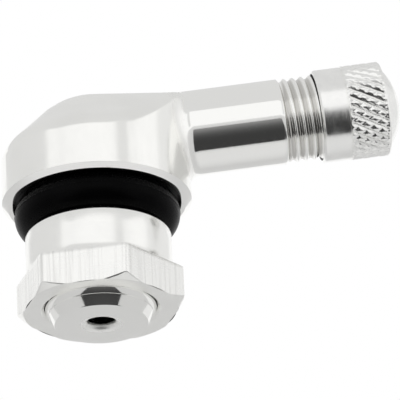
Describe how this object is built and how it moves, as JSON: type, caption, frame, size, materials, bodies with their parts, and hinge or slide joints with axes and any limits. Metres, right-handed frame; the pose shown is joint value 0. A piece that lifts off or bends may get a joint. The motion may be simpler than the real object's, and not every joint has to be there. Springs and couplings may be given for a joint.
{
  "type": "tyre valve",
  "caption": "Angled tubeless tyre valve: turned aluminium elbow with tilted stem, rubber rim seal, flange nut, spring valve core and knurled dust cap.",
  "frame": {"origin": "on the stud's axis, in the plane of the head's flat rim seat", "axes": "+Z along the stud's axis away from the rim, +X on the side of the stem, +Y to the left of the stem seen from above its root"},
  "size_m": [0.0364, 0.0172, 0.0252],
  "materials": {
    "elbow_aluminium": "satin head, polished stem",
    "nut_aluminium": "turned, brushed flats",
    "cap_aluminium": "knurled, polished dome",
    "seal_rubber": "semi-gloss moulded",
    "liner_rubber": "matt",
    "core_brass": "turned",
    "core_gasket": "matt",
    "spring_steel": "drawn wire",
    "core_rubber": "matt"
  },
  "bodies": {
    "body": {"elbow_body": "elbow_aluminium", "core_plug": "core_brass", "core_barrel": "core_brass", "core_gasket": "core_gasket", "core_spring": "spring_steel"},
    "pin": {"core_pin": "core_brass", "core_cup": "core_brass", "core_seal": "core_rubber"},
    "cap_carrier": {"cap_liner": "liner_rubber"},
    "cap": {"cap_shell": "cap_aluminium"},
    "seal": {"seal_ring": "seal_rubber"},
    "nut": {"flange_nut": "nut_aluminium"}
  },
  "joints": [
    {"name": "pin_press", "type": "slide", "parent": "body", "child": "pin", "axis": [-0.9925, 0, -0.1219], "range_m": [0, 0.0012], "stiffness_N_per_m": 1200, "springref_m": -0.001, "deforming": ["core_spring"]},
    {"name": "cap_lift", "type": "slide", "parent": "body", "child": "cap_carrier", "axis": [0.9925, 0, 0.1219], "range_m": [0, 0.00635]},
    {"name": "cap_turn", "type": "hinge", "parent": "cap_carrier", "child": "cap", "pos_m": [0.02233, 0, 0.00874], "axis": [0.9925, 0, 0.1219], "range_deg": [0, 2880]},
    {"name": "seal_drop", "type": "slide", "parent": "body", "child": "seal", "axis": [0, 0, -1], "range_m": [0, 0.009]},
    {"name": "nut_turn", "type": "hinge", "parent": "seal", "child": "nut", "pos_m": [0, 0, -0.007], "axis": [0, 0, -1], "range_deg": [0, 3240]}
  ],
  "couplings": [
    {"joint": "cap_turn", "follows": "cap_lift", "rad_per_m": 7913.3},
    {"joint": "nut_turn", "follows": "seal_drop", "rad_per_m": 6283.2}
  ]
}
